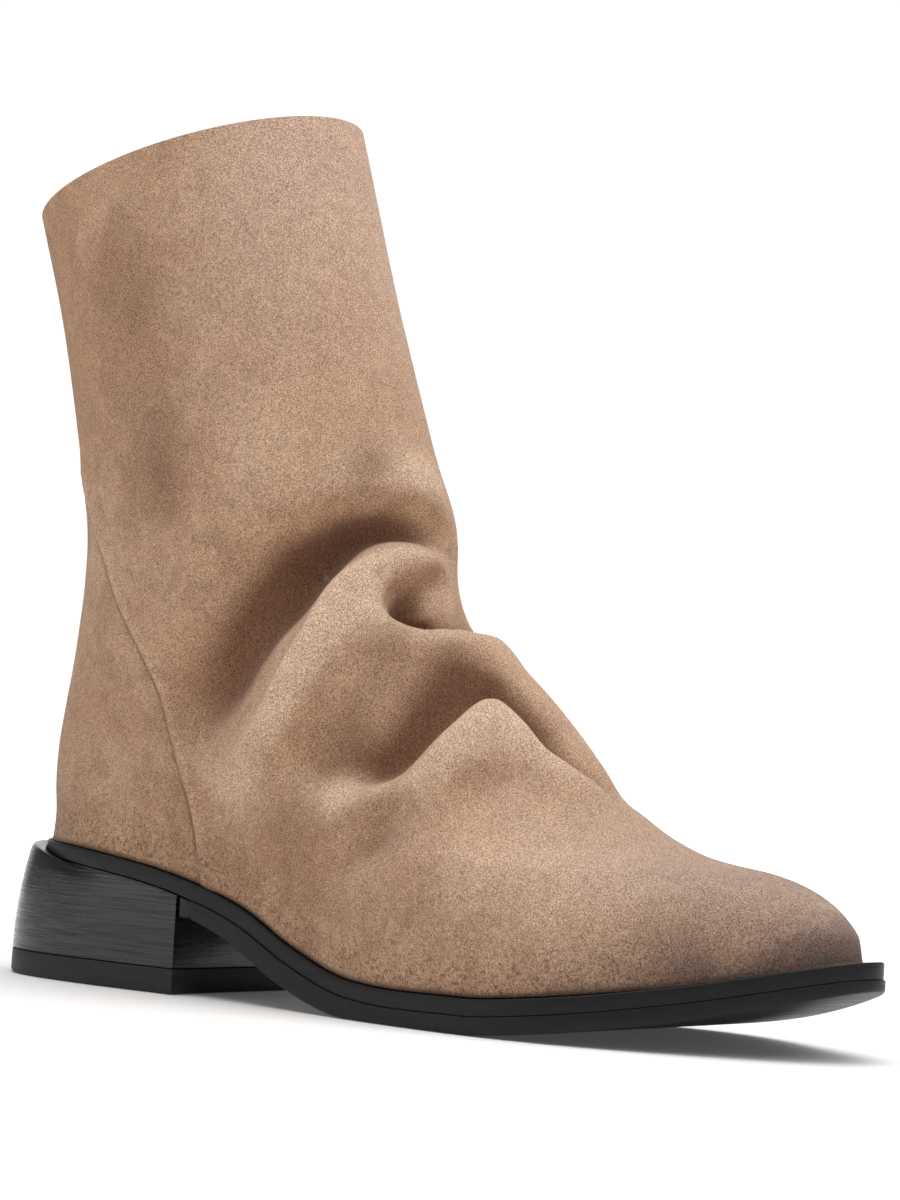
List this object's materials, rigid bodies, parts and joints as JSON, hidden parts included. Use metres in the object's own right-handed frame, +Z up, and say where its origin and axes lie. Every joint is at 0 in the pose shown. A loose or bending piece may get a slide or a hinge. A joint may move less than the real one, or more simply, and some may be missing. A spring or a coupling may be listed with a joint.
{
  "type": "slouch boot",
  "caption": "Ankle-high slouch boot with a soft folded suede leg, almond toe, thin sole and low flared block heel, right foot.",
  "frame": {"origin": "middle of the underside of the bounding box, on the floor", "axes": "+X to the toe, +Z up, -Y to the lateral side"},
  "size_m": [0.293, 0.092, 0.248],
  "materials": {
    "upper": "suede, short nap",
    "insole": "smooth",
    "welt": "black satin edge",
    "outsole": "black satin",
    "heel_block": "black polished stacked heel",
    "heel_top_lift": "black matte",
    "breast_roll": "black satin"
  },
  "bodies": {
    "root": {"upper": "upper", "insole": "insole", "welt": "welt", "outsole": "outsole", "heel_block": "heel_block", "heel_top_lift": "heel_top_lift", "breast_roll": "breast_roll"}
  },
  "joints": []
}
